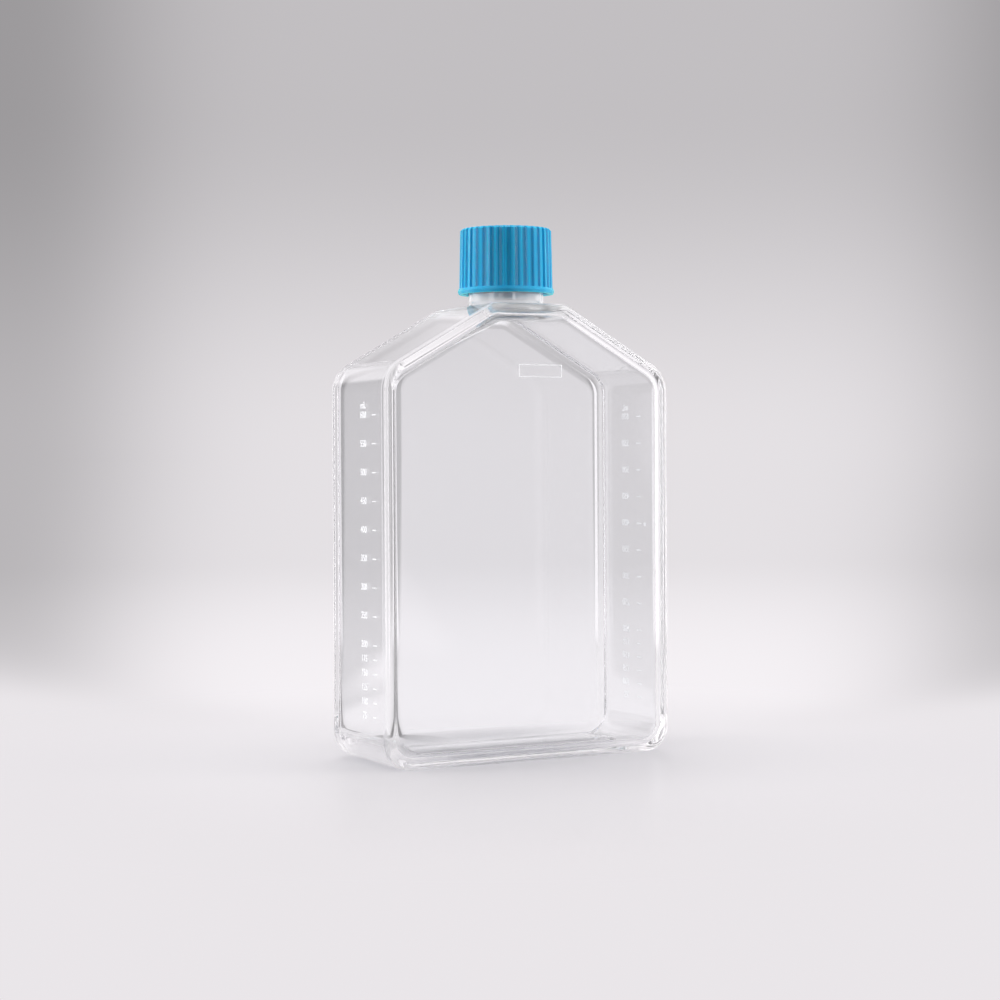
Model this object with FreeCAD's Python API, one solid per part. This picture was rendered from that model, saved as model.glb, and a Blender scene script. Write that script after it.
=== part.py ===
"""Cell culture flask with a vented screw cap, standing upright on its end wall.

Millimetres. X runs across the broad faces, Y through the flask's depth and Z up the neck.
The origin is on the standing plane, under the middle of the body. The front broad face looks
to -Y and the growth face, on which the flask lies in use, looks to +Y.
"""

import FreeCAD
import Part

import os
from math import atan2, cos, pi, sin, tan

from FreeCAD import Vector

# Body: a flat bottle with a house-shaped outline, its rims rounder inside than outside
BODY_WIDTH = 115.0
BODY_DEPTH = 49.0
SHOULDER_Z = 139.5  # height at which the sides turn into the sloping shoulders
PLATEAU_Z = 164.0  # flat top of the body, round the neck
PLATEAU_WIDTH = 29.0
WALL = 2.2
FOOT_RADIUS = 9.5  # corners of the outline, seen from the front
SHOULDER_RADIUS = 12.0
PLATEAU_RADIUS = 5.5
RIM_RADIUS = 2.6  # rounding between the broad faces and the narrow sides, outside
INNER_RIM_RADIUS = 4.5

# Push-up of the end wall, which leaves a rim for the flask to stand on
PUSH_UP_HEIGHT = 1.0
PUSH_UP_LENGTH = 84.0
PUSH_UP_WIDTH = 32.0
PUSH_UP_CORNER = 7.0
PUSH_UP_DRAFT = 1.5

# Neck, set towards the front face
NECK_Y = -4.5
NECK_RADIUS = 13.7
NECK_BORE_RADIUS = 11.8
NECK_FLARE = 0.6  # widening at the neck's foot
LIP_Z = 188.0
LIP_CHAMFER = 0.4

# Two-start right-handed thread
STARTS = 2
LEAD = 6.4
THREAD_TURNS = 0.65
THREAD_ROOT_WIDTH = 1.8
THREAD_CREST_WIDTH = 0.9
THREAD_SINK = 0.3  # how deep a thread's foot runs into its wall
NECK_THREAD_RADIUS = 14.5
NECK_THREAD_Z = 178.4
CAP_THREAD_RADIUS = 13.9
FLANK_GAP = 0.15  # between the loaded flanks of the closed cap

# Screw cap
CAP_BASE_Z = 168.2
CAP_TOP_Z = 191.9
CAP_BORE_RADIUS = 15.0
FLANGE_RADIUS = 17.6
FLANGE_HEIGHT = 2.0
FLANGE_BEVEL = 0.35  # each way from the middle of the flange's height
RIB_COUNT = 36
RIB_DEPTH_SHARE = 0.044  # a rib's height as a share of the radius
RIB_SHARE = 0.62  # share of the pitch that a rib covers
RIB_FLATS = 3
RIB_FOOT_RADIUS = 17.1
RIB_TOP_RADIUS = 16.7
CAP_CHAMFER = 0.7
CAP_DISH_RADIUS = 12.6
CAP_DISH_DEPTH = 0.6
CAP_BORE_CHAMFER = 0.6

# Vent slots in the cap's top
VENT_COUNT = 6
VENT_WIDTH = 1.8
VENT_INNER_RADIUS = 3.6
VENT_OUTER_RADIUS = 10.0

# Seal and membrane, clipped into the cap under its top
SEAL_RADIUS = 14.5
SEAL_BORE_RADIUS = 10.6
SEAL_THICKNESS = 1.5
PLUG_RADIUS = 11.55
PLUG_LENGTH = 2.4
MEMBRANE_RADIUS = 13.8
MEMBRANE_THICKNESS = 0.3
SEAT_GAP = 0.1  # running gap round the seal
BEAD_HEIGHT = 0.6
BEAD_RADIUS = 14.15

NECK_AXIS = Vector(0, NECK_Y, 0)
UP = Vector(0, 0, 1)
SEAL_TOP_Z = LIP_Z + SEAL_THICKNESS
CAP_CEILING_Z = SEAL_TOP_Z + MEMBRANE_THICKNESS


def rounded_wire(corners, radii):
    """Closed wire through the corners, each rounded by an arc of its own radius."""
    arcs = []
    for index, (corner, radius) in enumerate(zip(corners, radii)):
        back = (corners[index - 1] - corner).normalize()
        ahead = (corners[(index + 1) % len(corners)] - corner).normalize()
        half_angle = back.getAngle(ahead) / 2
        reach = radius / tan(half_angle)
        middle = (back + ahead).normalize()
        crown = corner + middle * (radius / sin(half_angle) - radius)
        arcs.append((corner + back * reach, crown, corner + ahead * reach))
    edges = []
    for (start, crown, end), (next_start, _, _) in zip(arcs, arcs[1:] + arcs[:1]):
        edges.append(Part.Arc(start, crown, end).toShape())
        edges.append(Part.LineSegment(end, next_start).toShape())
    return Part.Wire(edges)


def turned(profile):
    """Solid turned about the neck's axis from (radius, height) points."""
    points = [Vector(radius, NECK_Y, height) for radius, height in profile]
    face = Part.Face(Part.makePolygon(points + points[:1]))
    return face.revolve(NECK_AXIS, UP, 360)


def house_wire(y, inset, rim_radius):
    """Outline of the body at depth y, seen from the front, moved inwards by the inset."""
    slope = atan2(PLATEAU_Z - SHOULDER_Z, (BODY_WIDTH - PLATEAU_WIDTH) / 2)
    half = BODY_WIDTH / 2 - inset
    top = PLATEAU_WIDTH / 2 - inset * tan(slope / 2)
    shoulder_z = SHOULDER_Z - inset * tan((pi / 2 - slope) / 2)
    corners = [
        (-half, inset, FOOT_RADIUS),
        (half, inset, FOOT_RADIUS),
        (half, shoulder_z, SHOULDER_RADIUS),
        (top, PLATEAU_Z - inset, PLATEAU_RADIUS),
        (-top, PLATEAU_Z - inset, PLATEAU_RADIUS),
        (-half, shoulder_z, SHOULDER_RADIUS),
    ]
    points = [Vector(x, y, z) for x, z, _ in corners]
    tightest = 2.02 * rim_radius  # the rim's rounding then runs round each corner as a plain torus
    return rounded_wire(points, [max(radius - inset, tightest) for _, _, radius in corners])


def house_block(inset, rim_radius):
    """Body's block with rounded rims, its faces moved inwards by the inset."""
    half_depth = BODY_DEPTH / 2 - inset
    wire = house_wire(-half_depth, inset, rim_radius)
    block = Part.Face(wire).extrude(Vector(0, 2 * half_depth, 0))
    rims = [edge for edge in block.Edges if edge.BoundBox.YLength < 1e-6]
    return block.makeFillet(rim_radius, rims)


def push_up():
    """Shallow drafted pad that the end wall is pushed up over."""
    wires = []
    for z, draft in ((0.0, 0.0), (PUSH_UP_HEIGHT, PUSH_UP_DRAFT)):
        half_x = PUSH_UP_LENGTH / 2 - draft
        half_y = PUSH_UP_WIDTH / 2 - draft
        signs = ((-1, -1), (1, -1), (1, 1), (-1, 1))
        corners = [Vector(sign_x * half_x, sign_y * half_y, z) for sign_x, sign_y in signs]
        wires.append(rounded_wire(corners, [PUSH_UP_CORNER - draft] * 4))
    return Part.makeLoft(wires, True, True)


def thread(wall_radius, crest_radius, z):
    """All starts of a thread whose middle line begins at height z and climbs by the lead."""
    foot = wall_radius - THREAD_SINK if crest_radius > wall_radius else wall_radius + THREAD_SINK
    half_root = THREAD_ROOT_WIDTH / 2
    half_crest = THREAD_CREST_WIDTH / 2
    section = [
        Vector(foot, 0, -half_root),
        Vector(crest_radius, 0, -half_crest),
        Vector(crest_radius, 0, half_crest),
        Vector(foot, 0, half_root),
    ]
    spine = Part.makeHelix(LEAD, LEAD * THREAD_TURNS, wall_radius)
    swept = Part.Wire(spine.Edges).makePipeShell([Part.makePolygon(section + section[:1])], True, True)
    ridge = Part.Solid(Part.Shell(swept.Faces))
    ridges = []
    for start in range(STARTS):
        turned_ridge = ridge.copy()
        turned_ridge.rotate(Vector(0, 0, 0), UP, 360 * start / STARTS)
        turned_ridge.translate(Vector(0, NECK_Y, z))
        ridges.append(turned_ridge)
    return ridges


def flank_width_sum():
    """Width of both threads together, at the radius of the cap thread's crest."""
    foot = NECK_RADIUS - THREAD_SINK
    depth_share = (CAP_THREAD_RADIUS - foot) / (NECK_THREAD_RADIUS - foot)
    neck_width = THREAD_ROOT_WIDTH - (THREAD_ROOT_WIDTH - THREAD_CREST_WIDTH) * depth_share
    return neck_width + THREAD_CREST_WIDTH


def make_flask_body():
    """One-piece clear bottle: hollow body, pushed-up end wall and threaded neck."""
    pad = push_up()
    inner_pad = pad.copy()
    inner_pad.translate(Vector(0, 0, WALL))
    chamber = house_block(WALL, INNER_RIM_RADIUS).cut(inner_pad)
    neck = turned(
        [
            (0, PLATEAU_Z - WALL),
            (NECK_RADIUS + NECK_FLARE, PLATEAU_Z - WALL),
            (NECK_RADIUS + NECK_FLARE, PLATEAU_Z),
            (NECK_RADIUS, PLATEAU_Z + 2 * NECK_FLARE),
            (NECK_RADIUS, LIP_Z - LIP_CHAMFER),
            (NECK_RADIUS - LIP_CHAMFER, LIP_Z),
            (0, LIP_Z),
        ]
    )
    bore_foot_z = PLATEAU_Z - 2 * WALL
    bore_length = LIP_Z - bore_foot_z + 1
    bore = Part.makeCylinder(NECK_BORE_RADIUS, bore_length, Vector(0, NECK_Y, bore_foot_z))
    shell = house_block(0, RIM_RADIUS).cut(pad).fuse(neck).cut([chamber, bore])
    return shell.fuse(thread(NECK_RADIUS, NECK_THREAD_RADIUS, NECK_THREAD_Z))


def ribbed_outline(crest_radius, z):
    """Points round the cap at height z: ribs on a circle, each rib's back a few flats."""
    pitch = 2 * pi / RIB_COUNT
    half_rib = RIB_SHARE * pitch / 2
    valley_radius = crest_radius * (1 - RIB_DEPTH_SHARE)

    def at(radius, angle):
        return Vector(radius * cos(angle), NECK_Y + radius * sin(angle), z)

    points = []
    for index in range(RIB_COUNT):
        crest = index * pitch
        start = at(valley_radius, crest - half_rib)
        end = at(valley_radius, crest + half_rib)
        points += Part.Arc(start, at(crest_radius, crest), end).toShape().discretize(RIB_FLATS + 1)
    return points


def stacked_solid(outlines):
    """Solid with flat faces through outlines of one shape, each smaller than the one below."""
    faces = [Part.Face(Part.makePolygon(outline + outline[:1])) for outline in (outlines[0], outlines[-1])]
    for lower, upper in zip(outlines, outlines[1:]):
        for index in range(len(lower)):
            quad = [lower[index - 1], lower[index], upper[index], upper[index - 1]]
            faces.append(Part.Face(Part.makePolygon(quad + quad[:1])))
    return Part.Solid(Part.Shell(faces))


def vent_slots():
    """Slots set radially in the cap's top."""
    run = VENT_OUTER_RADIUS - VENT_INNER_RADIUS
    corner = Vector(VENT_INNER_RADIUS, -VENT_WIDTH / 2, CAP_CEILING_Z - 1)
    slots = []
    for index in range(VENT_COUNT):
        slot = Part.makeBox(run, VENT_WIDTH, CAP_TOP_Z - CAP_CEILING_Z + 2, corner)
        slot.rotate(Vector(0, 0, 0), UP, 360 * index / VENT_COUNT)
        slot.translate(NECK_AXIS)
        slots.append(slot)
    return slots


def make_screw_cap():
    """Ribbed cap with a bottom flange, an inside thread, a seal seat and vent slots."""
    flange_top = CAP_BASE_Z + FLANGE_HEIGHT
    skirt = stacked_solid(
        [
            ribbed_outline(RIB_FOOT_RADIUS, flange_top),
            ribbed_outline(RIB_TOP_RADIUS, CAP_TOP_Z - CAP_CHAMFER),
            ribbed_outline(RIB_TOP_RADIUS - CAP_CHAMFER, CAP_TOP_Z),
        ]
    )
    flange = turned(
        [
            (0, CAP_BASE_Z),
            (FLANGE_RADIUS - FLANGE_BEVEL, CAP_BASE_Z),
            (FLANGE_RADIUS, CAP_BASE_Z + FLANGE_HEIGHT / 2),
            (FLANGE_RADIUS - FLANGE_BEVEL, flange_top),
            (0, flange_top),
        ]
    )
    seat_radius = SEAL_RADIUS + SEAT_GAP
    seat_z = LIP_Z - SEAT_GAP
    bore = turned(
        [
            (0, CAP_BASE_Z),
            (CAP_BORE_RADIUS + CAP_BORE_CHAMFER, CAP_BASE_Z),
            (CAP_BORE_RADIUS, CAP_BASE_Z + CAP_BORE_CHAMFER),
            (CAP_BORE_RADIUS, seat_z - BEAD_HEIGHT),
            (BEAD_RADIUS, seat_z),
            (seat_radius, seat_z),
            (seat_radius, CAP_CEILING_Z),
            (0, CAP_CEILING_Z),
        ]
    )
    dish = Part.makeCylinder(
        CAP_DISH_RADIUS, CAP_DISH_DEPTH + 1, Vector(0, NECK_Y, CAP_TOP_Z - CAP_DISH_DEPTH)
    )
    outside = skirt.fuse(flange)
    slack = LEAD / STARTS - flank_width_sum()
    thread_z = NECK_THREAD_Z - LEAD / STARTS / 2 + slack / 2 - FLANK_GAP
    cap = outside.cut([bore, dish] + vent_slots())
    return cap.fuse(thread(CAP_BORE_RADIUS, CAP_THREAD_RADIUS, thread_z))


def make_seal_ring():
    """Soft ring that lies on the neck's lip, with a plug skirt that enters the bore."""
    return turned(
        [
            (SEAL_BORE_RADIUS, LIP_Z - PLUG_LENGTH),
            (PLUG_RADIUS, LIP_Z - PLUG_LENGTH),
            (PLUG_RADIUS, LIP_Z),
            (SEAL_RADIUS, LIP_Z),
            (SEAL_RADIUS, SEAL_TOP_Z),
            (SEAL_BORE_RADIUS, SEAL_TOP_Z),
        ]
    )


def make_vent_membrane():
    """Thin filter disc between the seal and the cap's ceiling."""
    return Part.makeCylinder(MEMBRANE_RADIUS, MEMBRANE_THICKNESS, Vector(0, NECK_Y, SEAL_TOP_Z))


PIECES = {
    "flask_body": make_flask_body,
    "screw_cap": make_screw_cap,
    "seal_ring": make_seal_ring,
    "vent_membrane": make_vent_membrane,
}

os.makedirs("parts", exist_ok=True)
for name, make in PIECES.items():
    solid = make().Solids[0]
    solid.exportStep(f"parts/{name}.step")
    box = solid.optimalBoundingBox()
    print(f"{name}: valid {solid.isValid()}, {solid.Volume / 1000:.2f} cm3, {box}")
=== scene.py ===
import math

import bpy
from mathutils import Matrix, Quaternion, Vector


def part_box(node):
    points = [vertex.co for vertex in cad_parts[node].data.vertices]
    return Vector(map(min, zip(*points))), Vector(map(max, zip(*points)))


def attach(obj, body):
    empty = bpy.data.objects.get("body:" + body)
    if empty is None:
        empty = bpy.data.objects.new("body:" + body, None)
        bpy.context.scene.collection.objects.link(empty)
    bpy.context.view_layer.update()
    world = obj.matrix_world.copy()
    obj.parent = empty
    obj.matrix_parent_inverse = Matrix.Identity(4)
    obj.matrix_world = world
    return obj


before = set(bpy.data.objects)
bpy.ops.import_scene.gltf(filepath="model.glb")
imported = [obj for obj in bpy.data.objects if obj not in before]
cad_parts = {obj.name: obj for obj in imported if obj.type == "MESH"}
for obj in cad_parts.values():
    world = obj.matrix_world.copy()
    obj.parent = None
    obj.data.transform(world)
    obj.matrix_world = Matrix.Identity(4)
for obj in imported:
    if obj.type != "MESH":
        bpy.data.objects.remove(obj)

# Looks of the cell culture flask: clear moulded polystyrene, a blue ribbed cap
# and white graduations. Lengths are in metres.

bpy.context.view_layer.update()

# ---------------------------------------------------------------- helpers


def new_material(name):
    material = bpy.data.materials.new(name)
    material.use_nodes = True
    material.node_tree.nodes.clear()
    return material, material.node_tree


def node(tree, kind, inputs=None, **settings):
    """Adds a node. Each input is a value, or a socket to link from."""
    made = tree.nodes.new(kind)
    for key, value in settings.items():
        setattr(made, key, value)
    for key, value in (inputs or {}).items():
        if isinstance(value, bpy.types.NodeSocket):
            tree.links.new(value, made.inputs[key])
        else:
            made.inputs[key].default_value = value
    return made


def surface(tree, shader):
    node(tree, "ShaderNodeOutputMaterial", {"Surface": shader.outputs[0]})


def principled(tree, inputs):
    return node(tree, "ShaderNodeBsdfPrincipled", inputs)


def mix_shaders(tree, share, first, second):
    inputs = {0: share, 1: first.outputs[0], 2: second.outputs[0]}
    return node(tree, "ShaderNodeMixShader", inputs)


def mix_colours(tree, share, first, second):
    inputs = {0: share, 6: first, 7: second}
    return node(tree, "ShaderNodeMix", inputs, data_type="RGBA").outputs[2]


def math_node(tree, operation, first, second):
    return node(tree, "ShaderNodeMath", {0: first, 1: second}, operation=operation).outputs[0]


def vector_math(tree, operation, first, second=None):
    inputs = {0: first} if second is None else {0: first, 1: second}
    made = node(tree, "ShaderNodeVectorMath", inputs, operation=operation)
    return made.outputs["Value" if operation in ("DOT_PRODUCT", "LENGTH") else "Vector"]


def between(tree, value, span, start=0.0, end=1.0):
    """Goes smoothly from start to end while the value goes through the span."""
    inputs = {
        "Value": value,
        "From Min": span[0],
        "From Max": span[1],
        "To Min": start,
        "To Max": end,
    }
    return node(tree, "ShaderNodeMapRange", inputs, interpolation_type="SMOOTHSTEP").outputs[0]


def blend(tree, share, off, on):
    """Goes smoothly from off to on while the share goes from 0 to 1."""
    return between(tree, share, (0.0, 1.0), off, on)


def coordinates(tree, kind="Object"):
    return node(tree, "ShaderNodeTexCoord").outputs[kind]


def height_of(tree, place):
    return node(tree, "ShaderNodeSeparateXYZ", {0: place}).outputs["Z"]


def noise(tree, scale, detail):
    inputs = {"Vector": coordinates(tree), "Scale": scale, "Detail": detail}
    return node(tree, "ShaderNodeTexNoise", inputs).outputs["Fac"]


def ray(tree, kind):
    """1 for rays of a kind: Camera, Glossy, Transmission or Shadow."""
    return node(tree, "ShaderNodeLightPath").outputs[f"Is {kind} Ray"]


def dress(name, material):
    """Gives a CAD node its material."""
    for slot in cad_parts[name].material_slots:
        slot.material = material


# ---------------------------------------------------------------- materials

# The outline of the flask, for the places of rims and neck
HALF_WIDTH, HALF_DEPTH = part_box("flask_body")[1][:2]
CAP_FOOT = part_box("screw_cap")[0][2]
SHOULDER_Z, PLATEAU_Z, PLATEAU_HALF = 0.1395, 0.164, 0.0145
SLOPE = math.atan2(PLATEAU_Z - SHOULDER_Z, HALF_WIDTH - PLATEAU_HALF)
SLOPE_NORMAL = (math.sin(SLOPE), 0.0, math.cos(SLOPE))
SLOPE_REACH = SLOPE_NORMAL[0] * PLATEAU_HALF + SLOPE_NORMAL[2] * PLATEAU_Z
RIM_EDGE = (0.0024, 0.0032)  # the rims end here, measured in from the outline
NECK_FOOT = PLATEAU_Z + 0.0005
NECK_START = (NECK_FOOT - 0.006, NECK_FOOT - 0.002)  # the neck's painted highlight sets in over this height
CAP_START = (CAP_FOOT, CAP_FOOT + 0.004)  # and thins out over this one, inside the cap

POLYSTYRENE_IOR = 1.59
WALL_COLOUR = (0.905, 0.91, 0.915, 1)  # the walls dim what is behind them a little
RIM_HIGHLIGHT_COLOUR = (1, 1, 1, 1)  # and the rims don't, as part of their painted highlight
SHADOW_COLOUR = (0.87, 0.88, 0.89, 1)  # light that the clear plastic lets through its shadow
RIM_PAINTED_HIGHLIGHT, NECK_PAINTED_HIGHLIGHT = 0.12, 0.3  # painted highlight: shares of milky white that rims and neck show in place of their glints
THREAD_SHARE = 0.2  # of the neck's painted highlight, left under the cap

CAP_CLOUD_SCALE, CAP_CLOUD_DETAIL = 90.0, 3.0
CAP_COLOURS = ((0.3, (0.02, 0.4, 0.72, 1)), (0.7, (0.03, 0.44, 0.76, 1)))  # over the cloud
GRAIN_SCALE, GRAIN_DETAIL = 900.0, 2.0


def rim_share(tree, place):
    """1 on the outer rims between the broad faces and the narrow sides, 0 on the walls: where
    the rims' painted highlight goes.
    """
    size = vector_math(tree, "ABSOLUTE", place)
    across, depth, height = node(tree, "ShaderNodeSeparateXYZ", {0: size}).outputs
    slope = vector_math(tree, "DOT_PRODUCT", size, SLOPE_NORMAL)
    inset = math_node(tree, "SUBTRACT", HALF_WIDTH, across)
    inset = math_node(tree, "MINIMUM", inset, math_node(tree, "SUBTRACT", SLOPE_REACH, slope))
    inset = math_node(tree, "MINIMUM", inset, height)
    inset = math_node(tree, "MAXIMUM", inset, math_node(tree, "SUBTRACT", HALF_DEPTH, depth))
    return between(tree, inset, RIM_EDGE, 1.0, 0.0)


def clear_polystyrene():
    """Clear plastic with a painted highlight: milky white in the rims and the neck, in place of
    their glints. It casts a pale shadow.
    """
    material, tree = new_material("clear_polystyrene_looks")
    place = coordinates(tree)
    height = height_of(tree, place)
    rim = rim_share(tree, place)
    # painted highlight on the neck, in place of its glints
    neck = between(tree, height, NECK_START, 0.0, NECK_PAINTED_HIGHLIGHT)
    neck = math_node(tree, "MULTIPLY", neck, between(tree, height, CAP_START, 1.0, THREAD_SHARE))
    # painted highlight: rims and neck turn milky white, and the rims keep an undimmed white
    # colour
    painted_highlight = math_node(tree, "MAXIMUM", math_node(tree, "MULTIPLY", rim, RIM_PAINTED_HIGHLIGHT), neck)
    plastic = principled(
        tree,
        {
            "Base Color": mix_colours(tree, rim, WALL_COLOUR, RIM_HIGHLIGHT_COLOUR),
            "Roughness": 0.0,
            "IOR": POLYSTYRENE_IOR,
            "Transmission Weight": math_node(tree, "SUBTRACT", 1.0, painted_highlight),
        },
    )
    shadow = node(tree, "ShaderNodeBsdfTransparent", {"Color": SHADOW_COLOUR})
    surface(tree, mix_shaders(tree, ray(tree, "Shadow"), plastic, shadow))
    return material


def blue_cap():
    """Glossy moulded plastic that light enters a little, with faint clouds in its blue."""
    material, tree = new_material("blue_cap_looks")
    cloud = noise(tree, CAP_CLOUD_SCALE, CAP_CLOUD_DETAIL)
    ramp = node(tree, "ShaderNodeValToRGB", {"Fac": cloud})
    for element, (position, colour) in zip(ramp.color_ramp.elements, CAP_COLOURS):
        element.position = position
        element.color = colour
    shader = principled(
        tree,
        {
            "Base Color": ramp.outputs["Color"],
            "Roughness": 0.22,
            "IOR": 1.5,
            "Specular IOR Level": 0.2,
            "Subsurface Weight": 0.5,
            "Subsurface Radius": (0.2, 0.8, 1.0),
            "Subsurface Scale": 0.0015,
            "Coat Weight": 0.25,
            "Coat Roughness": 0.06,
            "Sheen Weight": 1.0,
            "Sheen Roughness": 0.45,
            "Sheen Tint": (0.0, 1.0, 1.0, 1),
        },
    )
    surface(tree, shader)
    return material


def plain(name, colour, roughness):
    """One colour with a fine grain."""
    material, tree = new_material(name)
    grain = noise(tree, GRAIN_SCALE, GRAIN_DETAIL)
    bump = node(tree, "ShaderNodeBump", {"Height": grain, "Strength": 0.1, "Distance": 0.0001})
    inputs = {
        "Base Color": (*colour, 1),
        "Roughness": roughness,
        "Normal": bump.outputs["Normal"],
    }
    surface(tree, principled(tree, inputs))
    return material


dress("flask_body", clear_polystyrene())
dress("screw_cap", blue_cap())
dress("seal_ring", plain("seal_looks", (0.86, 0.88, 0.89), 0.6))
dress("vent_membrane", plain("membrane_looks", (0.85, 0.86, 0.86), 0.7))

# ---------------------------------------------------------------- print

LETTER_SIZE, LETTER_WEIGHT = 0.0034, 0.00004
LETTER_CURVE_STEPS = 3
PRINT_THICKNESS = 0.00004
ZERO_HEIGHT, HEIGHT_PER_ML = 0.0028, 0.000202
VOLUMES = tuple(range(600, 175, -50)) + tuple(range(175, 50, -25))
UNIT_RISE = 0.0034  # the unit stands this far above the top mark
TICK_LENGTH, TICK_WIDTH = 0.003, 0.0004
LEFT_NUMBERS_Y, LEFT_TICKS_Y = -0.0044, -0.0131
RIGHT_NUMBERS_Y, RIGHT_TICKS_Y = 0.0052, -0.0041
MARK_Y, MARK_Z, MARK_SIZE = -0.0084, 0.0833, 0.0012  # small moulded mark on the right narrow side, printed white as a painted glint
FRAME_LOW, FRAME_HIGH = (-0.0056, 0.1376), (0.0117, 0.1419)  # x and z on the front face
FRAME_LINE = 0.0003

WEAR_SCALE, WEAR_DETAIL, WEAR_SPAN = 700.0, 2.0, (0.25, 0.55)
WORN_COVER, FULL_COVER = 0.55, 0.95
THROUGH_SHARE = 0.5  # of the light on the ink, let through
INK_PAINTED_GLOW = 0.24  # painted glow: what the ink gives out, in place of the light that the wall guides to it


def white_print():
    """Thin white ink, a little worn, with a faint painted glow."""
    material, tree = new_material("white_print_looks")
    wear = noise(tree, WEAR_SCALE, WEAR_DETAIL)
    ink = principled(
        tree,
        {
            "Base Color": (0.97, 0.97, 0.98, 1),
            "Roughness": 0.5,
            "Alpha": between(tree, wear, WEAR_SPAN, WORN_COVER, FULL_COVER),
            # painted glow of the ink
            "Emission Color": (1, 1, 1, 1),
            "Emission Strength": INK_PAINTED_GLOW,
        },
    )
    through = node(tree, "ShaderNodeBsdfTranslucent", {"Color": (0.95, 0.95, 0.96, 1)})
    surface(tree, mix_shaders(tree, THROUGH_SHARE, ink, through))
    return material


def printed(name, parts, material):
    """Joins printed parts into one piece that rides with the flask."""
    bpy.ops.object.select_all(action="DESELECT")
    for part in parts:
        part.select_set(True)
    bpy.context.view_layer.objects.active = parts[0]
    bpy.ops.object.convert(target="MESH")
    bpy.ops.object.join()
    piece = bpy.context.object
    bpy.ops.object.transform_apply(location=True, rotation=True, scale=True)
    piece.name = name
    piece.data.materials.clear()
    piece.data.materials.append(material)
    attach(piece, "flask")


def lettering(text, place, turn):
    """Upright text that is read from outside a narrow side."""
    curve = bpy.data.curves.new("lettering", "FONT")
    curve.body = text
    curve.size = LETTER_SIZE
    curve.align_x = "CENTER"
    curve.align_y = "CENTER"
    curve.resolution_u = LETTER_CURVE_STEPS
    curve.extrude = PRINT_THICKNESS / 2
    curve.offset = LETTER_WEIGHT
    letters = bpy.data.objects.new("lettering", curve)
    bpy.context.scene.collection.objects.link(letters)
    letters.location = place
    letters.rotation_euler = (math.radians(90), 0, turn)
    return letters


def bar(centre, size):
    bpy.ops.mesh.primitive_cube_add(size=1.0, location=centre)
    bpy.context.object.scale = size
    return bpy.context.object


def graduations(name, side, numbers_y, ticks_y, material):
    """Volume marks down a narrow side: -1 is the left one and 1 the right one."""
    x = side * (HALF_WIDTH + PRINT_THICKNESS)
    turn = side * math.radians(90)
    top = ZERO_HEIGHT + HEIGHT_PER_ML * VOLUMES[0]
    parts = [lettering("mL", (x, numbers_y, top + UNIT_RISE), turn)]
    for volume in VOLUMES:
        z = ZERO_HEIGHT + HEIGHT_PER_ML * volume
        parts.append(lettering(str(volume), (x, numbers_y, z), turn))
        parts.append(bar((x, ticks_y, z), (PRINT_THICKNESS, TICK_LENGTH, TICK_WIDTH)))
    # the small mark's white ink is a painted glint
    if side > 0:
        parts.append(bar((x, MARK_Y, MARK_Z), (PRINT_THICKNESS, MARK_SIZE, MARK_SIZE)))
    printed(name, parts, material)


def bare_frame(name, low, high, line, material):
    """Outline of a printed field on the front face, with nothing in it."""
    (x0, z0), (x1, z1) = low, high
    y = -HALF_DEPTH - PRINT_THICKNESS
    parts = []
    for z in (z0, z1):
        parts.append(bar(((x0 + x1) / 2, y, z), (x1 - x0 + line, PRINT_THICKNESS, line)))
    for x in (x0, x1):
        parts.append(bar((x, y, (z0 + z1) / 2), (line, PRINT_THICKNESS, z1 - z0 - line)))
    printed(name, parts, material)


ink = white_print()
graduations("graduations_left", -1, LEFT_NUMBERS_Y, LEFT_TICKS_Y, ink)
graduations("graduations_right", 1, RIGHT_NUMBERS_Y, RIGHT_TICKS_Y, ink)
bare_frame("front_print", FRAME_LOW, FRAME_HIGH, FRAME_LINE, ink)

# ---------------------------------------------------------------- stage

# The studio is a backdrop with a pool of light, walls, a ceiling and softboxes. They are shown
# by the world, and by the floor beyond the flask as a painted glow with a painted pool of
# light. Compass angles are in degrees from +X. A pair of angles says where a zone begins to
# fade and where it is gone. A brightness of 1 is white.
TINT = (1.0, 0.965, 0.995, 1)

# The backdrop, as the camera sees it, and how much brighter gloss and clear plastic see it
BEHIND, BEHIND_FADE, BACKDROP_GAIN = 58.0, (32.0, 48.0), 1.17
NEAR_FLOOR, HORIZON, SKY = 0.92, 0.78, 0.54
POOL_ANGLE, POOL_FADE, POOL_EDGE = 60.5, (3.0, 15.0), 0.62
POOL_START = 0.79  # on the floor, the painted pool of light spreads from this far in front of the flask

# The other sides, as the camera sees them
SIDES, SIDES_FADE = 0.82, (20.0, 60.0)  # the fade is round the backdrop's angle

# The rest of the studio, which only gloss and clear plastic see
FLOOR_WALLS, WALLS = 0.95, 0.62
CLEAR_WALLS = 0.8  # clear plastic sees the walls at least this bright
CEILING, LIT_CEILING = 1.0, 1.15  # the first is what the camera sees
CAMERA_SIDE, UNLIT_FADE = 240.0, (15.0, 32.0)  # unlit part, round the camera
GLOSS_UNLIT_SHARE, CLEAR_UNLIT_SHARE = 0.25, 1.0  # of the walls' light, left in that part
GAP, GAP_FADE, GAP_SHARE = 118.0, (6.0, 13.0), 0.25  # dark gap, for gloss alone

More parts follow.
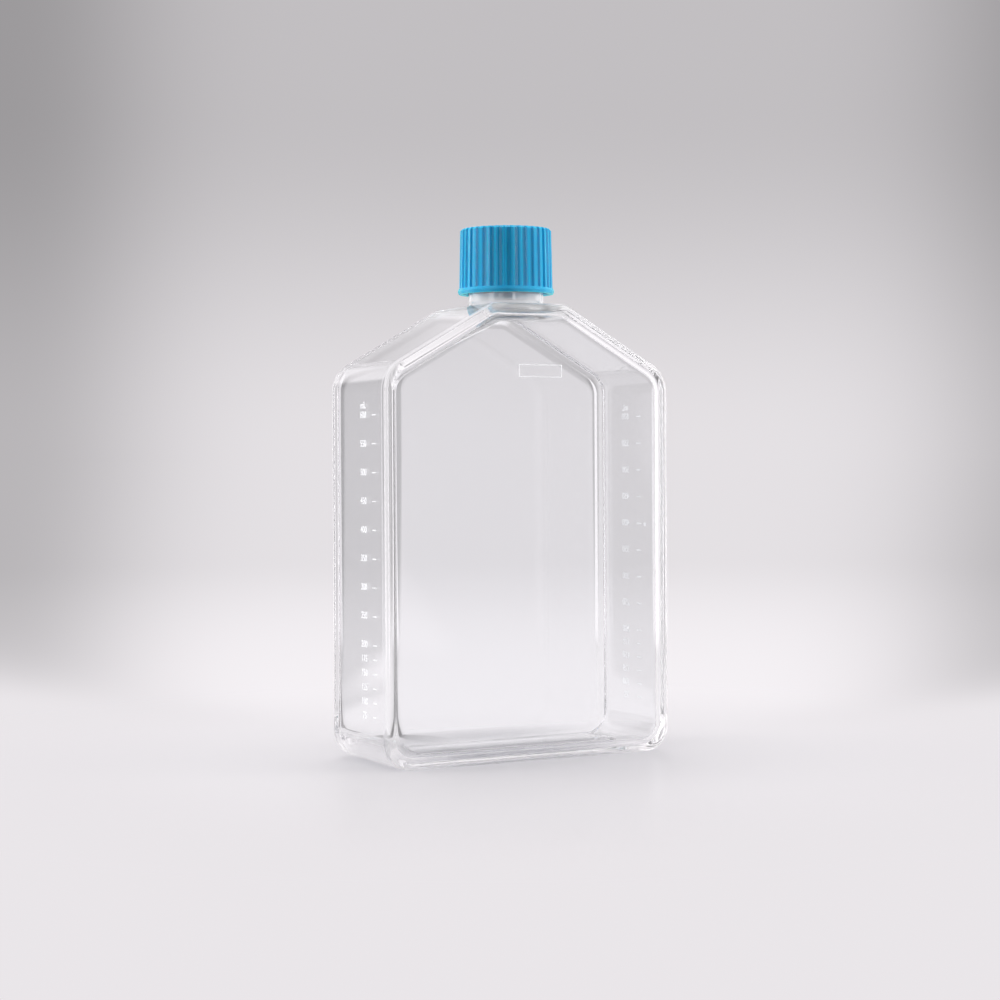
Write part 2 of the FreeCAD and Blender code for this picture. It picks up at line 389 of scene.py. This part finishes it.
# The softboxes: angle, half width, brightness
PANELS = (
    (3.0, 13.0, 1.3),
    (35.0, 5.0, 1.25),
    (98.0, 9.0, 1.25),
    (137.0, 11.0, 2.5),
    (196.0, 6.0, 4.0),
    (226.0, 5.0, 1.8),
    (267.0, 2.0, 4.0),
    (287.0, 3.5, 1.5),
    (326.0, 14.0, 1.1),
)
PANEL_FADE = 5.0
GLOSS_LIMIT = 4.0  # no softbox is brighter than this in gloss
CLEAR_LIMIT, CLEAR_FRONT_LIMIT = 2.5, 0.9  # or than these through clear plastic
FRONT_FADE = (56.0, 66.0)  # the second limit is for the softboxes round the camera

# Heights of the zones in the world, as the z of a direction of length 1
SKY_RISE, CEILING_RISE = (0.0, 0.16), (0.2, 0.45)
WALL_RISE, PANEL_RISE = (0.1, 0.4), (0.35, 0.75)

# Distances from the flask's middle between which the floor changes
FLOOR_REACH, WALL_REACH, PANEL_REACH = (0.1, 1.5), (0.2, 1.5), (0.12, 0.6)
LIT_REACH, CAMERA_LIT_REACH = (0.02, 0.08), (0.08, 0.24)  # lit by the lamps up to here
FLOOR_RADIUS, FLOOR_SIDES = 40.0, 128

WORLD_LIGHT = 0.45  # even light on the surfaces
FLOOR_COLOUR = (0.63, 0.61, 0.63, 1)
FLOOR_BOUNCE = (0.15, 0.15, 0.15, 1)  # the floor's colour in the light that it sends up
FLOOR_ROUGHNESS, FLOOR_SPECULAR = 0.35, 0.3


def seen(tree):
    """1 for the rays that show the studio: camera, gloss and clear plastic."""
    first = math_node(tree, "MAXIMUM", ray(tree, "Camera"), ray(tree, "Glossy"))
    return math_node(tree, "MAXIMUM", first, ray(tree, "Transmission"))


def facing(tree, flat, angle, fade):
    """1 near a compass angle, and 0 beyond the angles of the fade."""
    inner, outer = (math.cos(math.radians(edge)) for edge in fade)
    turn = math.radians(angle)
    ahead = (math.cos(turn), math.sin(turn), 0)
    return between(tree, vector_math(tree, "DOT_PRODUCT", flat, ahead), (outer, inner))


def level_direction(tree, vector):
    flat = vector_math(tree, "MULTIPLY", vector, (1, 1, 0))
    return vector_math(tree, "NORMALIZE", flat)


def lit_studio(tree, flat, backdrop, walls, panel_share):
    """Brightness of the studio for gloss and clear plastic."""
    clear = ray(tree, "Transmission")
    walls = math_node(tree, "MAXIMUM", walls, math_node(tree, "MULTIPLY", clear, CLEAR_WALLS))
    unlit_share = blend(tree, clear, GLOSS_UNLIT_SHARE, CLEAR_UNLIT_SHARE)
    unlit = facing(tree, flat, CAMERA_SIDE, UNLIT_FADE)
    walls = math_node(tree, "MULTIPLY", walls, blend(tree, unlit, 1.0, unlit_share))
    gap = math_node(tree, "MULTIPLY", facing(tree, flat, GAP, GAP_FADE), ray(tree, "Glossy"))
    walls = math_node(tree, "MULTIPLY", walls, blend(tree, gap, 1.0, GAP_SHARE))
    backdrop = math_node(tree, "MULTIPLY", backdrop, BACKDROP_GAIN)
    level = blend(tree, facing(tree, flat, BEHIND, BEHIND_FADE), walls, backdrop)

    front = facing(tree, flat, CAMERA_SIDE, FRONT_FADE)
    clear_limit = blend(tree, front, CLEAR_LIMIT, CLEAR_FRONT_LIMIT)
    limit = blend(tree, clear, GLOSS_LIMIT, clear_limit)
    for angle, half_width, strength in PANELS:
        share = facing(tree, flat, angle, (half_width, half_width + PANEL_FADE))
        panel = math_node(tree, "MULTIPLY", share, strength)
        panel = math_node(tree, "MULTIPLY", panel, panel_share)
        panel = math_node(tree, "MINIMUM", panel, limit)
        level = math_node(tree, "MAXIMUM", level, panel)
    return level


def studio_level(tree, direction, pool_direction, base, walls, panel_share):
    """Brightness of the studio in a direction, for each kind of ray."""
    flat = level_direction(tree, direction)
    pool = facing(tree, level_direction(tree, pool_direction), POOL_ANGLE, POOL_FADE)
    backdrop = math_node(tree, "MULTIPLY", base, blend(tree, pool, POOL_EDGE, 1.0))
    lit = lit_studio(tree, flat, backdrop, walls, panel_share)
    shown = blend(tree, facing(tree, flat, BEHIND, SIDES_FADE), SIDES, backdrop)
    return blend(tree, ray(tree, "Camera"), lit, shown)


def make_world():
    world = bpy.data.worlds.new("studio")
    bpy.context.scene.world = world
    world.use_nodes = True
    tree = world.node_tree
    tree.nodes.clear()
    direction = coordinates(tree, "Generated")
    height = height_of(tree, direction)
    ceiling = blend(tree, ray(tree, "Camera"), LIT_CEILING, CEILING)
    sky = between(tree, height, SKY_RISE, HORIZON, SKY)
    base = between(tree, height, CEILING_RISE, sky, ceiling)
    walls = between(tree, height, WALL_RISE, WALLS, ceiling)
    panel_share = between(tree, height, PANEL_RISE, 1.0, 0.0)
    level = studio_level(tree, direction, direction, base, walls, panel_share)
    shown = node(tree, "ShaderNodeBackground", {"Color": TINT, "Strength": level})
    white = {"Color": (1, 1, 1, 1), "Strength": WORLD_LIGHT}
    light = node(tree, "ShaderNodeBackground", white)
    mix = mix_shaders(tree, seen(tree), light, shown)
    node(tree, "ShaderNodeOutputWorld", {"Surface": mix.outputs[0]})


def make_floor():
    """Near the flask the lamps light the floor; further out it glows with the studio's
    brightness, a painted pool of light included.
    """
    bpy.ops.mesh.primitive_circle_add(
        vertices=FLOOR_SIDES, radius=FLOOR_RADIUS, fill_type="NGON", location=(0, 0, 0)
    )
    floor = bpy.context.object
    floor.name = "floor"
    material, tree = new_material("floor_looks")
    place = coordinates(tree)
    reach = vector_math(tree, "LENGTH", place)
    pool_start = around(POOL_ANGLE + 180, POOL_START, 0.0)
    from_pool_start = vector_math(tree, "SUBTRACT", place, pool_start)
    lit = principled(
        tree,
        {
            "Base Color": mix_colours(tree, seen(tree), FLOOR_BOUNCE, FLOOR_COLOUR),
            "Roughness": FLOOR_ROUGHNESS,
            "Specular IOR Level": FLOOR_SPECULAR,
        },
    )
    base = between(tree, reach, FLOOR_REACH, NEAR_FLOOR, HORIZON)
    walls = between(tree, reach, WALL_REACH, FLOOR_WALLS, WALLS)
    panel_share = between(tree, reach, PANEL_REACH)
    level = studio_level(tree, place, from_pool_start, base, walls, panel_share)
    # painted light: the floor's glow, with its pool of light
    glow = node(tree, "ShaderNodeEmission", {"Color": TINT, "Strength": level})
    near = between(tree, reach, LIT_REACH)
    camera_near = between(tree, reach, CAMERA_LIT_REACH)
    share = blend(tree, ray(tree, "Camera"), near, camera_near)
    share = math_node(tree, "MULTIPLY", share, seen(tree))
    surface(tree, mix_shaders(tree, share, lit, glow))
    floor.data.materials.append(material)


def around(angle, distance, height):
    """A place on a circle round the flask, by its compass angle."""
    turn = math.radians(angle)
    return Vector((distance * math.cos(turn), distance * math.sin(turn), height))


def softbox(name, place, aim, size, watts):
    """A lamp that lights surfaces. Gloss and clear plastic see the world's softboxes instead."""
    light = bpy.data.lights.new(name, "AREA")
    light.shape = "RECTANGLE"
    light.size, light.size_y = size
    light.energy = watts
    lamp = bpy.data.objects.new(name, light)
    bpy.context.scene.collection.objects.link(lamp)
    lamp.location = place
    lamp.rotation_mode = "QUATERNION"
    lamp.rotation_quaternion = (Vector(aim) - place).to_track_quat("-Z", "Y")
    lamp.visible_camera = False
    lamp.visible_transmission = False
    lamp.visible_glossy = False


SIDE_WATTS, BACK_WATTS, OVERHEAD_WATTS = 6.8, 1.5, 8.0
LAMP_DISTANCE = 0.9
SIDE_SIZE, BACK_SIZE, OVERHEAD_SIZE = (0.5, 0.4), (0.5, 0.3), (0.8, 0.8)
SIDE_HEIGHT, BACK_HEIGHT = 0.25, 0.45
LEFT_ANGLE, RIGHT_ANGLE, BACK_ANGLE = 150, -29, 75
OVERHEAD_PLACE = Vector((0.0, 0.1, 1.2))
SIDE_AIM, LOW_AIM = (0, 0, 0.25), (0, 0, 0.1)

make_world()
make_floor()
for name, angle in (("left_panel", LEFT_ANGLE), ("right_panel", RIGHT_ANGLE)):
    side_place = around(angle, LAMP_DISTANCE, SIDE_HEIGHT)
    softbox(name, side_place, SIDE_AIM, SIDE_SIZE, SIDE_WATTS)
back_place = around(BACK_ANGLE, LAMP_DISTANCE, BACK_HEIGHT)
softbox("back_panel", back_place, LOW_AIM, BACK_SIZE, BACK_WATTS)
softbox("overhead", OVERHEAD_PLACE, LOW_AIM, OVERHEAD_SIZE, OVERHEAD_WATTS)

# ---------------------------------------------------------------- camera

AZIMUTH, PITCH, ROLL = math.radians(-28.33), math.radians(0.72), math.radians(-0.3)
DISTANCE, LOOK_HEIGHT = 0.7883, 0.1
SENSOR_WIDTH, LENS = 36.0, 77.27  # in millimetres
SHIFT_X, SHIFT_Y = -0.0011, -0.0186
NEAREST = 0.01

camera = bpy.data.objects.new("camera", bpy.data.cameras.new("camera"))
bpy.context.scene.collection.objects.link(camera)
back = Vector(
    (math.sin(AZIMUTH) * math.cos(PITCH), -math.cos(AZIMUTH) * math.cos(PITCH), math.sin(PITCH))
)
camera.location = Vector((0, 0, LOOK_HEIGHT)) + back * DISTANCE
camera.rotation_mode = "QUATERNION"
camera.rotation_quaternion = (-back).to_track_quat("-Z", "Y") @ Quaternion((0, 0, 1), ROLL)
camera.data.sensor_width = SENSOR_WIDTH
camera.data.lens = LENS
camera.data.shift_x = SHIFT_X
camera.data.shift_y = SHIFT_Y
camera.data.clip_start = NEAREST
bpy.context.scene.camera = camera

BOUNCES = 128  # enough for light that the clear walls guide a long way
scene = bpy.context.scene
scene.view_settings.view_transform = "Standard"
scene.cycles.max_bounces = BOUNCES
scene.cycles.transmission_bounces = BOUNCES
scene.cycles.glossy_bounces = BOUNCES
